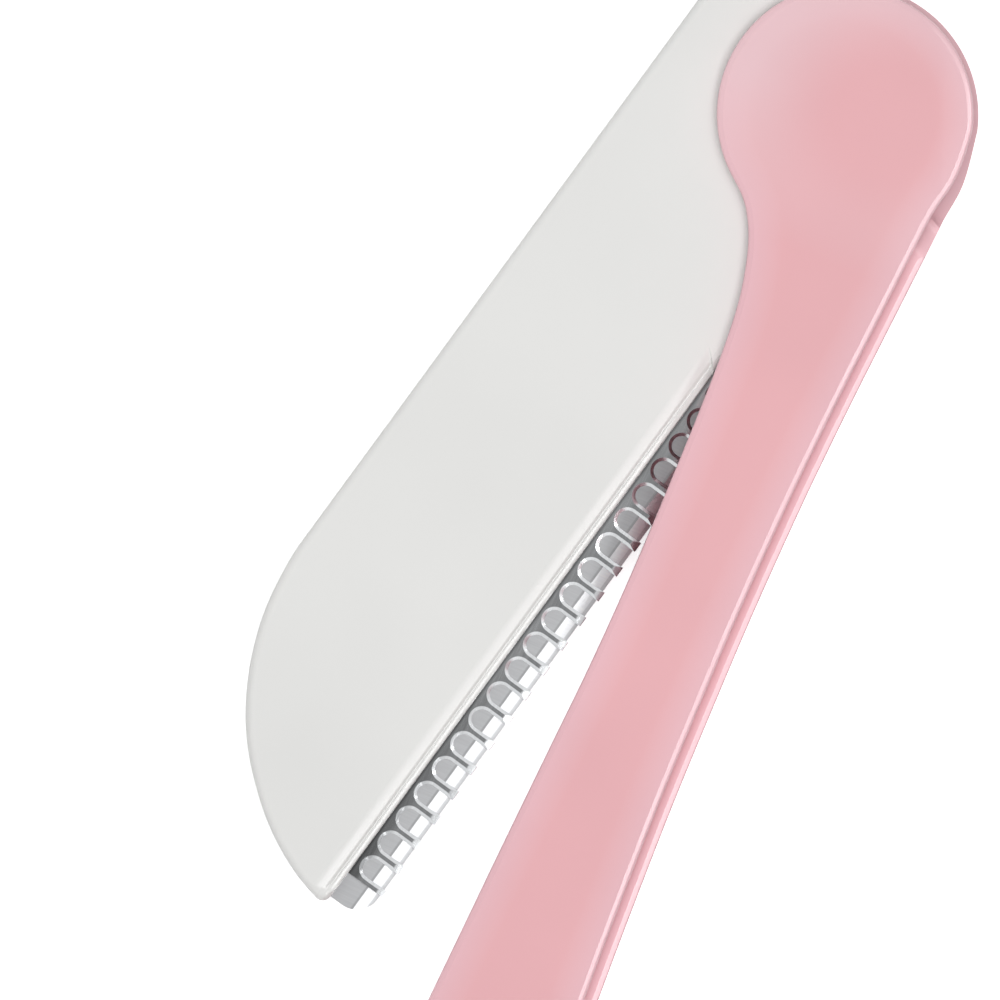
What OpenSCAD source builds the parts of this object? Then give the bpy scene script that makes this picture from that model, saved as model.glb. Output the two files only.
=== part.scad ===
// Folding eyebrow razor. A slim two-shell handle with a round head carries a
// flat blade carrier on a hidden pin, and the carrier folds into the channel
// between the shells. The blade is clamped between the carrier's two halves,
// and its edge stands behind a stamped guard.
//
// The handle lies along +X with the pin's axis through the origin, its rear
// face rests on z = 0, and its closed spine is on the +Y side. The carrier has
// its own axes: u runs from the pin to its tip, v towards the cutting edge.

/* [Pose] */
// Angle that the carrier is open, 0 is folded in
carrier_open = 12.5; // [0:0.5:170]

/* [Handle] */
// Distance from the pin to the far end of the handle
handle_l = 80; // [76:1:100]
// Radius of the round head
head_r = 8.2; // [8:0.1:9]
// Distance from the pin's axis to the mouth edge at the waist
waist_mouth = 0.86; // [0.4:0.02:1.6]
// Distance from the pin's axis to the spine edge at the waist
waist_spine = 7.11; // [7.05:0.01:8]
// Distance from the pin's axis to the spine edge beside the head
head_spine = 8.37; // [8.25:0.01:9]
// Distance from the pin's axis to the mouth edge at the tail
tail_mouth = 2.2; // [1.8:0.05:4]
// Distance from the pin's axis to the spine edge at the tail
tail_spine = 8.85; // [8.2:0.05:10]
// Thickness of the rear shell's plate
rear_t = 1.4; // [1.2:0.1:2]
// Thickness of the front shell's plate
front_t = 1.6; // [1.4:0.1:2.2]
// Thickness of the spine wall and of the tail's walls
wall_t = 1.3; // [1.1:0.05:1.4]
// Width of the ledge where the spine wall stands out past the front shell
ledge_w = 0.85; // [0.5:0.05:0.9]
// Width of the same ledge round the back of the head
head_ledge_w = 0.36; // [0:0.02:0.4]
// Radius of the handle's outer edges
handle_edge_r = 0.55; // [0.3:0.05:0.8]
// Rise of the front shell's middle above its edges
crown_h = 0.16; // [0.02:0.02:0.3]
// Width of the band over which the front shell rises
crown_w = 2.2; // [1.5:0.1:2.4]
// Distance from the pin to the wall that closes the channel at the tail
tail_wall_x = 60.2; // [60:0.2:66]

/* [Blade carrier] */
// Distance from the pin to the carrier's tip
carrier_l = 59.1; // [58:0.1:59.4]
// Thickness of the carrier
carrier_t = 2.8; // [2.4:0.1:3.2]
// Distance from the pin's axis to the carrier's straight back
back_v = 11.8; // [10:0.05:13]
// Distance from the pin's axis to the lip that holds the blade
lip_v = 2.78; // [2.4:0.02:3]
// Length of the curved tip
tip_l = 17; // [12:0.5:20]
// Radius of the corner between the tip and the lip
tip_corner_r = 0.6; // [0.5:0.1:0.9]
// Radius of the round knuckle that turns in the head
knuckle_r = 7; // [6:0.1:7.2]
// Radius of the heel's corner
heel_r = 2.6; // [1:0.1:4]
// Angle that the carrier turns from folded to fully open
swing = 178; // [172:0.5:178]
// Width of the sloping land between the carrier's face and the lip
land_w = 0.9; // [0.6:0.05:1.5]
// Depth of the lip below the carrier's face
lip_drop = 0.5; // [0.5:0.05:0.7]
// Radius of the carrier's outer edges
carrier_edge_r = 0.4; // [0.2:0.05:0.45]

/* [Blade] */
// Thickness of the blade
blade_t = 0.3; // [0.2:0.01:0.4]
// Distance from the pin to the blade's inner end
blade_u = 17; // [16:0.1:17.5]
// Length of the blade
blade_l = 41.5; // [38:0.1:41.6]
// Width of the blade from its hidden back to its cutting edge
blade_w = 8.6; // [7:0.1:9]
// Distance from the pin's axis to the cutting edge
edge_v = 5.25; // [4.8:0.05:5.3]
// Width of the ground bevel
bevel_w = 0.9; // [0.6:0.05:1.2]
// Length cut off the blade's hidden corner beside the carrier's tip
hidden_cut_l = 3.4; // [3:0.1:5]
// Thickness left at the cutting edge
edge_t = 0.02; // [0.01:0.01:0.04]
// Radius of the blade's outer corner
blade_corner_r = 1.6; // [0.4:0.1:2]

/* [Guard] */
// Thickness of the guard's sheet
guard_t = 0.1; // [0.08:0.01:0.15]
// Depth of the guard held behind the lip
guard_hold = 1.6; // [1:0.1:2]
// Distance from one guard bar to the next
bar_pitch = 1.925; // [1.6:0.025:2.4]
// Width of a guard bar
bar_w = 0.34; // [0.25:0.01:0.5]
// Distance from the lip to the round end of a window
window_inset = 0.25; // [0.2:0.05:0.6]
// Gap between the cutting edge and the inside of the guard's fold
fold_gap = 0.05; // [0.03:0.01:0.15]
// Length of bare blade past the guard at the tip
bare_l = 1.8; // [1:0.1:3]

/* [Pins and studs] */
// Radius of the pivot pin
pin_r = 2; // [1.5:0.1:2.4]
// Depth of the pin's blind socket in each shell
pin_socket = 0.8; // [0.6:0.05:0.9]
// Size of the bevel on the pin's ends
pin_bevel = 0.2; // [0.1:0.05:0.3]
// Radius of the tail studs that join the shells
tail_stud_r = 1.3; // [1:0.1:1.6]
// Depth of the tail studs' sockets in the front shell
tail_socket = 0.9; // [0.6:0.1:1]
// Radius of the studs that locate the blade
blade_stud_r = 0.9; // [0.6:0.05:1.1]
// Depth of the blade studs' sockets in the front half
blade_socket = 0.7; // [0.5:0.05:0.8]

/* [Clearances] */
// Gap between the carrier and each shell
side_gap = 0.3; // [0.25:0.05:0.5]
// Gap between the carrier's raised hub and each shell
hub_gap = 0.06; // [0.04:0.01:0.1]
// Radial clearance of the pivot pin in the carrier
running_gap = 0.05; // [0.03:0.01:0.09]
// Gap around a stud or pin that is pressed into its socket
press_gap = 0.02; // [0.01:0.01:0.04]
// Gap at the bottom of a socket
socket_gap = 0.05; // [0.02:0.01:0.1]
// Gap between the blade, the guard and their pocket
sheet_gap = 0.02; // [0.01:0.01:0.04]
// Gap between the carrier's heel and the spine wall when fully open
stop_gap = 0.2; // [0.15:0.05:0.4]

/* [Hidden] */
$fn = 64;

// Heights of the layers, from the rear face up
channel_h = carrier_t + 2 * side_gap;
seam_z = rear_t + channel_h;
mid_z = rear_t + channel_h / 2;
half_t = carrier_t / 2;
// How far a cutting shape runs past what it cuts, and the reach of one that
// runs past the whole razor
over = 0.5;
reach = 2 * handle_l;

// Angles round the head where its arc gives way to the mouth and spine edges
mouth_polar = -36;
spine_polar = 106.7;
// Angles round the head where the ledge is gone, has its width round the
// back, starts to widen and has its width along the handle
ledge_gone = 235;
ledge_back = 165;
ledge_start = 108;
ledge_full = 60;
// Angles round the pin of the carrier's heel and of its shoulder
heel_polar = 242;
shoulder_polar = 62;
// Angle between two points of an arc, and the steps of a curve in each span
arc_step = 6;
span_steps = 3;

// Mouth edge: the share of the handle's length, then the shares of the way
// from the waist out to the head and out to the tail
mouth_shares = [
    [0.091, 0.806, 0], [0.102, 0.626, 0], [0.118, 0.452, 0], [0.138, 0.313, 0],
    [0.164, 0.192, 0], [0.195, 0.116, 0], [0.2375, 0.066, 0], [0.3, 0.028, 0],
    [0.385, 0, 0], [0.471, 0, 0.05], [0.55, 0, 0.23], [0.6375, 0, 0.43],
    [0.725, 0, 0.6], [0.825, 0, 0.81]
];
// Spine edge in the same shares
spine_shares = [
    [0.0125, 1, 0], [0.045, 0.83, 0], [0.075, 0.72, 0], [0.115, 0.58, 0],
    [0.156, 0.437, 0], [0.2, 0.286, 0], [0.25, 0.15, 0], [0.3, 0.055, 0],
    [0.385, 0, 0], [0.456, 0, 0.035], [0.55, 0, 0.126], [0.65, 0, 0.33],
    [0.725, 0, 0.52], [0.825, 0, 0.77]
];
// Curved tip: the share of the tip's length, then of the carrier's width
tip_shares = [
    [0, 0], [0.123, 0.015], [0.243, 0.042], [0.3535, 0.083], [0.457, 0.136],
    [0.5535, 0.2], [0.643, 0.274], [0.725, 0.361], [0.799, 0.46], [0.8675, 0.569],
    [0.927, 0.692], [0.975, 0.8325]
];
// Shoulder: the share of the way from the knuckle to the blade's inner end,
// then the share of the shoulder's height above the lip that is left
shoulder_shares = [[0.2, 0.91], [0.42, 0.74], [0.65, 0.52], [0.83, 0.27]];
// Places of the blade's studs, as shares of the way from the blade's inner end
// to the corner at the carrier's tip
stud_shares = [0.14, 0.5, 0.86];

// Lists of points

function first_two(p) = [p[0], p[1]];
function last_two(p) = [p[len(p) - 2], p[len(p) - 1]];
function but_last(p) = [for (i = [0:len(p) - 2]) p[i]];
function reversed(p) = [for (i = [len(p) - 1:-1:0]) p[i]];

// Basic geometry

function polar(r, a) = [r * cos(a), r * sin(a)];
// Angle of a point round the origin, from 0 to 360
function angle_of(p) = (atan2(p[1], p[0]) + 360) % 360;
// Share of a smooth step that rises from 0 to 1
function ease(t) = let (s = min(1, max(0, t))) s * s * (3 - 2 * s);
function arc(centre, r, a0, a1) =
    let (n = ceil(abs(a1 - a0) / arc_step))
    [for (i = [0:n]) centre + polar(r, a0 + (a1 - a0) * i / n)];
// Point at share t of the way from b to c on a smooth curve through a to d
function curve_point(a, b, c, d, t) =
    (2 * b + (c - a) * t + (2 * a - 5 * b + 4 * c - d) * t * t
        + (3 * b - a - 3 * c + d) * t * t * t) / 2;
// Smooth curve from the second point of a list up to its last point but one
function curve(p) = [
    for (i = [1:len(p) - 3], k = [0:span_steps - 1])
        curve_point(p[i - 1], p[i], p[i + 1], p[i + 2], k / span_steps)
];
// Outward normal of the side that leaves point i of a counter-clockwise outline
function side_normal(p, i) =
    let (d = p[(i + 1) % len(p)] - p[i % len(p)]) [d[1], -d[0]] / norm(d);
function corner_normal(p, i) =
    let (a = side_normal(p, i + len(p) - 1), b = side_normal(p, i)) (a + b) / (1 + a * b);
// Outline moved inwards, by one distance or by one for each of its points
function inset(p, d) = [
    for (i = [0:len(p) - 1]) p[i] - corner_normal(p, i) * (is_num(d) ? d : d[i])
];
// Quarter-round edge as rings of [inset, height], from the side to the face
function edge_rings(r, side_z, face_z) = [
    for (a = [0:30:90]) [r * (1 - cos(a)), side_z + (face_z - side_z) * sin(a)]
];

// Layers of an outline that steps inwards, from its rings of [inset, height]
function layers_of(outline, rings) = [for (ring = rings) [inset(outline, ring[0]), ring[1]]];
// Solid through layers of [outline, height] with like points, the lowest first
module layered_plate(layers) {
    n = len(layers[0][0]);
    top = len(layers) - 1;
    polyhedron(
        points = [for (layer = layers, p = layer[0]) [p[0], p[1], layer[1]]],
        faces = concat(
            [[for (i = [0:n - 1]) i], [for (i = [n - 1:-1:0]) top * n + i]],
            [
                for (k = [0:top - 1], i = [0:n - 1])
                    [k * n + i, (k + 1) * n + i, (k + 1) * n + (i + 1) % n]
            ],
            [
                for (k = [0:top - 1], i = [0:n - 1])
                    [k * n + i, (k + 1) * n + (i + 1) % n, k * n + (i + 1) % n]
            ]
        )
    );
}

// Everything above or below a height
module above(z) {
    translate([-reach, -reach, z]) cube(2 * reach);
}
module below(z) {
    translate([-reach, -reach, z - 2 * reach]) cube(2 * reach);
}

// Cross-section drawn as [v, z], run along u from one place to another
module run_along_u(u0, u1) {
    translate([u0, 0, 0]) rotate([90, 0, 90]) linear_extrude(u1 - u0) children();
}

// Handle outline, counter-clockwise from the spine side of the head

tail_r = (tail_mouth + tail_spine) / 2;
tail_centre = [handle_l - tail_r, (tail_spine - tail_mouth) / 2];

// Points of one edge, from its height at the waist, at the head and at the tail
function edge_points(shares, waist, head, tail) = [
    for (row = shares)
        [row[0] * handle_l, waist + row[1] * (head - waist) + row[2] * (tail - waist)]
];
head_arc = arc([0, 0], head_r, spine_polar, 360 + mouth_polar);
tail_arc = arc(tail_centre, tail_r, -90, 90);
mouth_curve = curve(concat(
    last_two(head_arc),
    edge_points(mouth_shares, -waist_mouth, last_two(head_arc)[1][1], -tail_mouth),
    first_two(tail_arc)
));
spine_curve = curve(concat(
    last_two(tail_arc),
    reversed(edge_points(spine_shares, waist_spine, head_spine, tail_spine)),
    first_two(head_arc)
));
handle_outline = concat(but_last(head_arc), mouth_curve, but_last(tail_arc), spine_curve);

// Width of the ledge beside the head, by the angle round the pin
function ledge_by_angle(a) =
    a > ledge_start
        ? head_ledge_w * ease((ledge_gone - a) / (ledge_gone - ledge_back))
        : head_ledge_w
            + (ledge_w - head_ledge_w) * ease((ledge_start - a) / (ledge_start - ledge_full));
// Width of the ledge at each point of the handle's outline
ledge = concat(
    [for (p = but_last(head_arc)) ledge_by_angle(angle_of(p))],
    [for (p = mouth_curve) 0],
    [for (p = but_last(tail_arc)) ledge_w * ease((p[1] + tail_mouth) / tail_r)],
    [for (p = spine_curve) ledge_by_angle(angle_of(p))]
);
front_outline = inset(handle_outline, ledge);
inner_outline = inset(handle_outline, wall_t);

// Half of the plane on the left of the Y axis
module left_half() {
    translate([-reach, -reach]) square([reach, 2 * reach]);
}

// Space that the carrier sweeps: open at the mouth and at the head, where a
// straight end on the spine wall meets the heel of the opened carrier
module channel_area() {
    stop_polar = heel_polar - swing;
    intersection() {
        translate([tail_wall_x, 0]) left_half();
        union() {
            polygon(inner_outline);
            translate([0, waist_spine / 2]) rotate(90) left_half();
            translate(polar(stop_gap, stop_polar - 90)) rotate(stop_polar - 90) left_half();
        }
    }
}

module tail_pocket_area() {
    difference() {
        polygon(inner_outline);
        translate([tail_wall_x + wall_t, 0]) left_half();
    }
}

tail_studs = [tail_centre, [tail_wall_x + wall_t + 2 * tail_stud_r, tail_centre[1]]];

// Rear shell: the plate, the spine wall with its ledge, and the walled tail
// with the two studs that hold the front shell
module handle_rear_shell() {
    color("#E8B5B8") {
        difference() {
            layered_plate(layers_of(
                handle_outline,
                concat(reversed(edge_rings(handle_edge_r, handle_edge_r, 0)), [[0, seam_z + over]])
            ));
            above(seam_z);
            translate([0, 0, rear_t]) linear_extrude(channel_h + over / 2) {
                channel_area();
                tail_pocket_area();
            }
            translate([0, 0, rear_t - pin_socket])
                cylinder(r = pin_r + press_gap, h = pin_socket + over);
        }
        for (p = tail_studs)
            translate([p[0], p[1], rear_t / 2])
                cylinder(r = tail_stud_r, h = seam_z + tail_socket - socket_gap - rear_t / 2);
    }
}

// Front shell: a plate with a rounded edge and a low crown, set back behind
// the ledge, with blind sockets underneath
module handle_front_shell() {
    edge_z = seam_z + front_t - crown_h;
    rise = [
        for (t = [0.25:0.25:1])
            [handle_edge_r + t * (crown_w - handle_edge_r), edge_z + crown_h * sin(90 * t)]
    ];
    color("#E8B5B8")
        difference() {
            layered_plate(layers_of(
                front_outline,
                concat(
                    [[0, seam_z - over]],
                    edge_rings(handle_edge_r, edge_z - handle_edge_r, edge_z),
                    rise
                )
            ));
            below(seam_z);
            translate([0, 0, seam_z - over]) {
                cylinder(r = pin_r + press_gap, h = pin_socket + over);
                for (p = tail_studs)
                    translate(p) cylinder(r = tail_stud_r + press_gap, h = tail_socket + over);
            }
        }
}

// Pivot pin: pressed into both shells, so that it is hidden from outside
module pivot_pin() {
    low = rear_t - pin_socket + socket_gap;
    high = seam_z + pin_socket - socket_gap;
    color("#C9CCCF")
        rotate_extrude()
            polygon([
                [0, low], [pin_r - pin_bevel, low], [pin_r, low + pin_bevel],
                [pin_r, high - pin_bevel], [pin_r - pin_bevel, high], [0, high]
            ]);
}

// Carrier outline, counter-clockwise from the heel

heel_line = polar(1, heel_polar);
heel_reach = (heel_r * (1 - heel_line[0]) - back_v) / heel_line[1];
heel_centre = heel_reach * heel_line + heel_r * [-heel_line[1], heel_line[0]];
shoulder_start = polar(knuckle_r, shoulder_polar);
carrier_w = back_v + lip_v;
tip_points = [
    for (row = tip_shares)
        [carrier_l - tip_l + row[0] * tip_l, -back_v + row[1] * carrier_w]
];
// A point of the straight back, as far before the tip as its next point is after
tip_lead = [2 * tip_points[0][0] - tip_points[1][0], -back_v];
// Corner between the tip and a lip, from the tip's end and the lip's distance
function tip_corner(end, lip) =
    arc([end, lip] - [tip_corner_r, tip_corner_r], tip_corner_r, 0, 90);
shoulder_points = [
    for (row = shoulder_shares) [
        shoulder_start[0] + row[0] * (blade_u - shoulder_start[0]),
        lip_v + row[1] * (shoulder_start[1] - lip_v)
    ]
];
function outline_with(corner, lip_points) = concat(
    arc(heel_centre, heel_r, heel_polar - 90, 270),
    curve(concat([tip_lead], tip_points, first_two(corner))),
    corner,
    lip_points,
    reversed(shoulder_points),
    arc([0, 0], knuckle_r, shoulder_polar, heel_polar)
);
carrier_outline = outline_with(
    tip_corner(carrier_l, lip_v),
    [[blade_u + land_w, lip_v], [blade_u, lip_v]]
);
// Outline of the face, which stands back from the lip by the land
land_v = lip_v - land_w;
face_outline = outline_with(
    tip_corner(carrier_l - tip_corner_r, land_v),
    [[blade_u + land_w, land_v], [blade_u, lip_v]]
);

// Places shared by the carrier's halves, the blade and the guard

blade_end = blade_u + blade_l;
blade_back_v = edge_v - blade_w;
guard_root_v = lip_v - guard_hold;
guard_end = blade_end - bare_l;
window_count = floor((guard_end - blade_u - bar_w) / bar_pitch);
guard_l = window_count * bar_pitch + bar_w;
sheet_half = blade_t / 2 + sheet_gap;
fold_r = sheet_half + guard_t;
hub_r = (pin_r + knuckle_r) / 2;
studs_l = carrier_l - tip_corner_r - blade_u;
blade_studs = [
    for (share = stud_shares) [blade_u + share * studs_l, (blade_back_v + guard_root_v) / 2]
];
blade_plan = [
    [blade_u, blade_back_v], [blade_end - hidden_cut_l, blade_back_v],
    [blade_end, (land_v + lip_v) / 2], [blade_end, edge_v], [blade_u, edge_v]
];

// Turns what lies along the carrier's own axes into its place on the handle
module on_carrier() {
    translate([0, 0, mid_z]) rotate(-carrier_open) children();
}

// Half of the carrier above its middle plane, with the raised hub, the sloping
// land along the lip and half of the pocket for the blade and the guard
module carrier_half() {
    difference() {
        union() {
            layered_plate(concat(
                [[carrier_outline, -over], [carrier_outline, half_t - lip_drop]],
                layers_of(face_outline, edge_rings(carrier_edge_r, half_t - carrier_edge_r, half_t))
            ));
            cylinder(r = hub_r, h = half_t + side_gap - hub_gap);
        }
        below(0);
        translate([0, 0, -over])
            cylinder(r = pin_r + running_gap, h = half_t + side_gap + 2 * over);
        translate([0, 0, -over])
            linear_extrude(sheet_half + over) polygon(inset(blade_plan, -sheet_gap));
        translate([guard_end - guard_l - sheet_gap, guard_root_v - sheet_gap, -over])
            cube([guard_l + 2 * sheet_gap, guard_hold + over, fold_r + sheet_gap + over]);
    }
}

// Rear half of the carrier, with the studs that locate the blade
module carrier_rear_half() {
    color("#E2E2E0")
        on_carrier() {
            mirror([0, 0, 1]) carrier_half();
            for (p = blade_studs)
                translate([p[0], p[1], -half_t / 2])
                    cylinder(r = blade_stud_r, h = half_t / 2 + blade_socket - socket_gap);
        }
}

// Front half of the carrier, with the sockets that take those studs
module carrier_front_half() {
    color("#E2E2E0")
        on_carrier()
            difference() {
                carrier_half();
                for (p = blade_studs)
                    translate([p[0], p[1], -over])
                        cylinder(r = blade_stud_r + press_gap, h = blade_socket + over);
            }
}

// Blade: a steel strip ground to an edge on both faces, with one rounded
// corner and the holes that fit over the studs
module blade() {
    color("#BEC0C2")
        on_carrier()
            difference() {
                intersection() {
                    run_along_u(blade_u, blade_end)
                        polygon([
                            [blade_back_v, -blade_t / 2], [edge_v - bevel_w, -blade_t / 2],
                            [edge_v, -edge_t / 2], [edge_v, edge_t / 2],
                            [edge_v - bevel_w, blade_t / 2], [blade_back_v, blade_t / 2]
                        ]);
                    translate([0, 0, -over]) linear_extrude(2 * over) polygon(blade_plan);
                }
                for (p = blade_studs)
                    translate([p[0], p[1], -over]) cylinder(r = blade_stud_r + press_gap, h = 2 * over);
                translate([blade_end - blade_corner_r, edge_v - blade_corner_r, -over])
                    linear_extrude(2 * over)
                        difference() {
                            square(blade_corner_r + over);
                            circle(blade_corner_r);
                        }
            }
}

// Guard: a thin sheet folded round the cutting edge, with a row of windows
// that are round behind the edge and run out over the fold
module blade_guard() {
    fold_v = edge_v + fold_gap - sheet_half;
    window_r = (bar_pitch - bar_w) / 2;
    window_v = lip_v + window_inset + window_r;
    color("#C8CACC")
        on_carrier()
            difference() {
                run_along_u(guard_end - guard_l, guard_end)
                    difference() {
                        union() {
                            translate([guard_root_v, -fold_r]) square([fold_v - guard_root_v, 2 * fold_r]);
                            translate([fold_v, 0]) circle(fold_r);
                        }
                        translate([guard_root_v - over, -sheet_half])
                            square([fold_v - guard_root_v + over, 2 * sheet_half]);
                        translate([fold_v, 0]) circle(sheet_half);
                    }
                for (i = [0:window_count - 1])
                    translate([guard_end - bar_w / 2 - (i + 0.5) * bar_pitch, window_v, -over])
                        linear_extrude(2 * over) {
                            circle(window_r);
                            translate([-window_r, 0]) square([2 * window_r, edge_v]);
                        }
            }
}

handle_rear_shell();
handle_front_shell();
pivot_pin();
carrier_rear_half();
carrier_front_half();
blade();
blade_guard();
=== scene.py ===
from math import atan2, ceil, cos, degrees, pi, radians, sin, tan

import bmesh
import bpy
from bpy.props import FloatProperty, FloatVectorProperty, IntProperty, PointerProperty
from mathutils import Matrix, Vector


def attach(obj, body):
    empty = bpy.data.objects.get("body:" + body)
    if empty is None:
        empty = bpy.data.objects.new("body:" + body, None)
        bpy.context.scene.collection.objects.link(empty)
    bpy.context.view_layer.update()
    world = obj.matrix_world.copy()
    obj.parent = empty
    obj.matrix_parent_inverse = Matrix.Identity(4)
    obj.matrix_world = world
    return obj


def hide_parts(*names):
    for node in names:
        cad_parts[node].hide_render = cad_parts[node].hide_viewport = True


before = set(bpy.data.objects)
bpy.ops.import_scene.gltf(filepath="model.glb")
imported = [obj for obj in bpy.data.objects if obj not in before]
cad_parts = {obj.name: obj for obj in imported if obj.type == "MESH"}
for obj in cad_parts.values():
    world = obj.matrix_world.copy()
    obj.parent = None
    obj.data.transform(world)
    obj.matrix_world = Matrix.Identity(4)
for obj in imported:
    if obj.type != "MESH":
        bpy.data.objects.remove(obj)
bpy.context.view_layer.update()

bl_info = {
    "name": "Folding eyebrow razor",
    "version": (1, 0, 0),
    "blender": (4, 5, 0),
    "location": "3D View > Sidebar > Eyebrow razor",
    "description": "Models a folding eyebrow razor with a moulded handle and a guarded blade",
    "category": "Add Mesh",
}

MM = 0.001
# How far a cutting shape runs past what it cuts
OVER = 1.0 * MM
# Points nearer than this count as one
TOUCHING = 1e-4 * MM
# Gap round what is pressed in, and round the pin that the carrier turns on
PRESS_GAP, RUNNING_GAP = 0.02 * MM, 0.05 * MM
# The pin's radius, and the depth of its socket in each shell
PIN_R, PIN_SOCKET = 2 * MM, 0.8 * MM
# Depth of the sockets for the tail's studs, and the chamfer of those studs
TAIL_SOCKET, TAIL_CHAMFER = 0.9 * MM, 0.2 * MM
# The blade's studs: their line across the carrier, height, chamfer and socket's depth
STUD_V, STUD_H, STUD_CHAMFER, STUD_SOCKET = -1.085 * MM, 0.65 * MM, 0.12 * MM, 0.7 * MM
HUB_CHAMFER = 0.08 * MM
# How far behind the lip the cut at the blade's hidden corner ends
CUT_DROP = 0.45 * MM
# Half the blade's thickness at its cutting edge, and how much more where the honed facet
# starts
EDGE_Z, HONED_RISE = 0.008 * MM, 0.03 * MM
# How far the painted paler sheen reaches in from a shell's outline
RIM_BAND = 2.2 * MM


# Settings

def srgb(code):
    """The linear colour of an sRGB hex value."""
    parts = [int(code[i:i + 2], 16) / 255 for i in (1, 3, 5)]
    return tuple(c / 12.92 if c <= 0.04045 else ((c + 0.055) / 1.055) ** 2.4 for c in parts)


def length(name, description, default):
    return FloatProperty(
        name=name, description=description, default=default * MM, min=0.0,
        unit="LENGTH", subtype="DISTANCE", precision=5,
    )


def angle(name, description, default):
    return FloatProperty(
        name=name, description=description, default=radians(default),
        unit="ROTATION", subtype="ANGLE",
    )


def colour(name, description, code):
    return FloatVectorProperty(
        name=name, description=description, default=srgb(code), min=0.0, max=1.0,
        size=3, subtype="COLOR",
    )


class HandleSettings(bpy.types.PropertyGroup):
    """Sizes of the handle's two shells"""

    handle_l: length("Handle length", "Distance from the pin to the far end of the handle", 80)
    head_r: length("Head radius", "Radius of the round head", 8.19)
    waist_mouth: length("Waist, mouth side", "From the pin's axis to the mouth edge at the waist", 0.86)
    waist_spine: length("Waist, spine side", "From the pin's axis to the spine edge at the waist", 7.11)
    head_spine: length("Head, spine side", "From the pin's axis to the spine edge beside the head", 8.37)
    tail_mouth: length("Tail, mouth side", "From the pin's axis to the mouth edge at the tail", 2.2)
    tail_spine: length("Tail, spine side", "From the pin's axis to the spine edge at the tail", 8.85)
    rear_t: length("Rear plate", "Thickness of the rear shell's plate", 1.4)
    front_t: length("Front plate", "Thickness of the front shell's plate", 1.6)
    wall_t: length("Wall", "Thickness of the spine wall and of the tail's walls", 1.3)
    ledge_w: length("Ledge", "Width of the ledge where the spine wall stands out", 0.85)
    head_ledge_w: length("Ledge at the head", "Width of the same ledge round the head's back", 0.36)
    edge_r: length("Rear edge radius", "Radius of the rear shell's back edge", 0.55)
    front_edge_r: length("Front edge radius", "Radius of the front shell's outer edge", 0.2)
    front_slope_w: length("Front slope", "Width of the slope inside the front shell's edge", 0.22)
    ledge_edge_r: length("Ledge edge radius", "Radius of the outer edge of the ledge", 0.12)
    ledge_slope_w: length("Ledge slope", "Width of the slope inside the ledge's outer edge", 0.28)
    edge_tilt: angle("Edge slope", "Angle of the slopes inside the edges", 17)
    crown_h: length("Crown height", "Rise of the front shell's middle above its edges", 0.1)
    crown_w: length("Crown width", "Width of the band over which the front shell rises", 1.8)
    seam_chamfer: length("Seam chamfer", "Chamfer of the front shell's foot", 0.08)
    dip_l: length("Dip length", "Length over which the spine wall dips to its end", 2.4)
    dip_h: length("Dip depth", "Depth of that dip", 0.9)
    tail_wall_x: length("Tail wall", "Distance from the pin to the wall that closes the channel", 60.2)
    stud_r: length("Tail stud radius", "Radius of the studs that join the shells", 1.3)
    stud_h: length("Tail stud height", "Height of the studs above the seam", 0.85)


class CarrierSettings(bpy.types.PropertyGroup):
    """Sizes of the blade carrier's two halves"""

    carrier_l: length("Carrier length", "Distance from the pin to the carrier's tip", 59.1)
    carrier_t: length("Carrier thickness", "Thickness of both halves together", 2.8)
    back_v: length("Back", "Distance from the pin's axis to the straight back", 11.798)
    lip_v: length("Lip", "Distance from the pin's axis to the lip that holds the blade", 2.78)
    tip_l: length("Tip length", "Length of the curved tip", 17)
    tip_corner_r: length("Tip corner", "Radius of the corner between the tip and the lip", 0.6)
    knuckle_r: length("Knuckle radius", "Radius of the round knuckle in the head", 7)
    heel_r: length("Heel radius", "Radius of the heel's corner", 2.6)
    edge_r: length("Edge radius", "Radius of the carrier's outer edges", 0.48)
    seam_chamfer: length("Seam chamfer", "Chamfer where the halves meet", 0.08)
    side_gap: length("Side gap", "Gap between the carrier and each shell", 0.3)
    hub_gap: length("Hub gap", "Gap between the raised hub and each shell", 0.06)
    carrier_open: angle("Open angle", "Angle that the carrier is open at rest", 12.5)


class BladeSettings(bpy.types.PropertyGroup):
    """Sizes of the blade"""

    blade_t: length("Blade thickness", "Thickness of the blade", 0.3)
    blade_u: length("Blade start", "Distance from the pin to the blade's inner end", 17)
    blade_l: length("Blade length", "Length of the blade", 41.5)
    blade_w: length("Blade width", "Width from the hidden back to the cutting edge", 8.6)
    edge_v: length("Cutting edge", "Distance from the pin's axis to the cutting edge", 5.25)
    bevel_w: length("Ground bevel", "Width of the ground bevel", 0.9)
    honed_w: length("Honed facet", "Width of the honed facet along the edge", 0.25)
    corner_r: length("Corner radius", "Radius of the blade's outer corner", 1.6)
    hidden_cut_l: length("Hidden cut", "Length cut off the blade's hidden corner", 3.4)
    stud_r: length("Blade stud radius", "Radius of the studs that locate the blade", 0.9)


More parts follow.
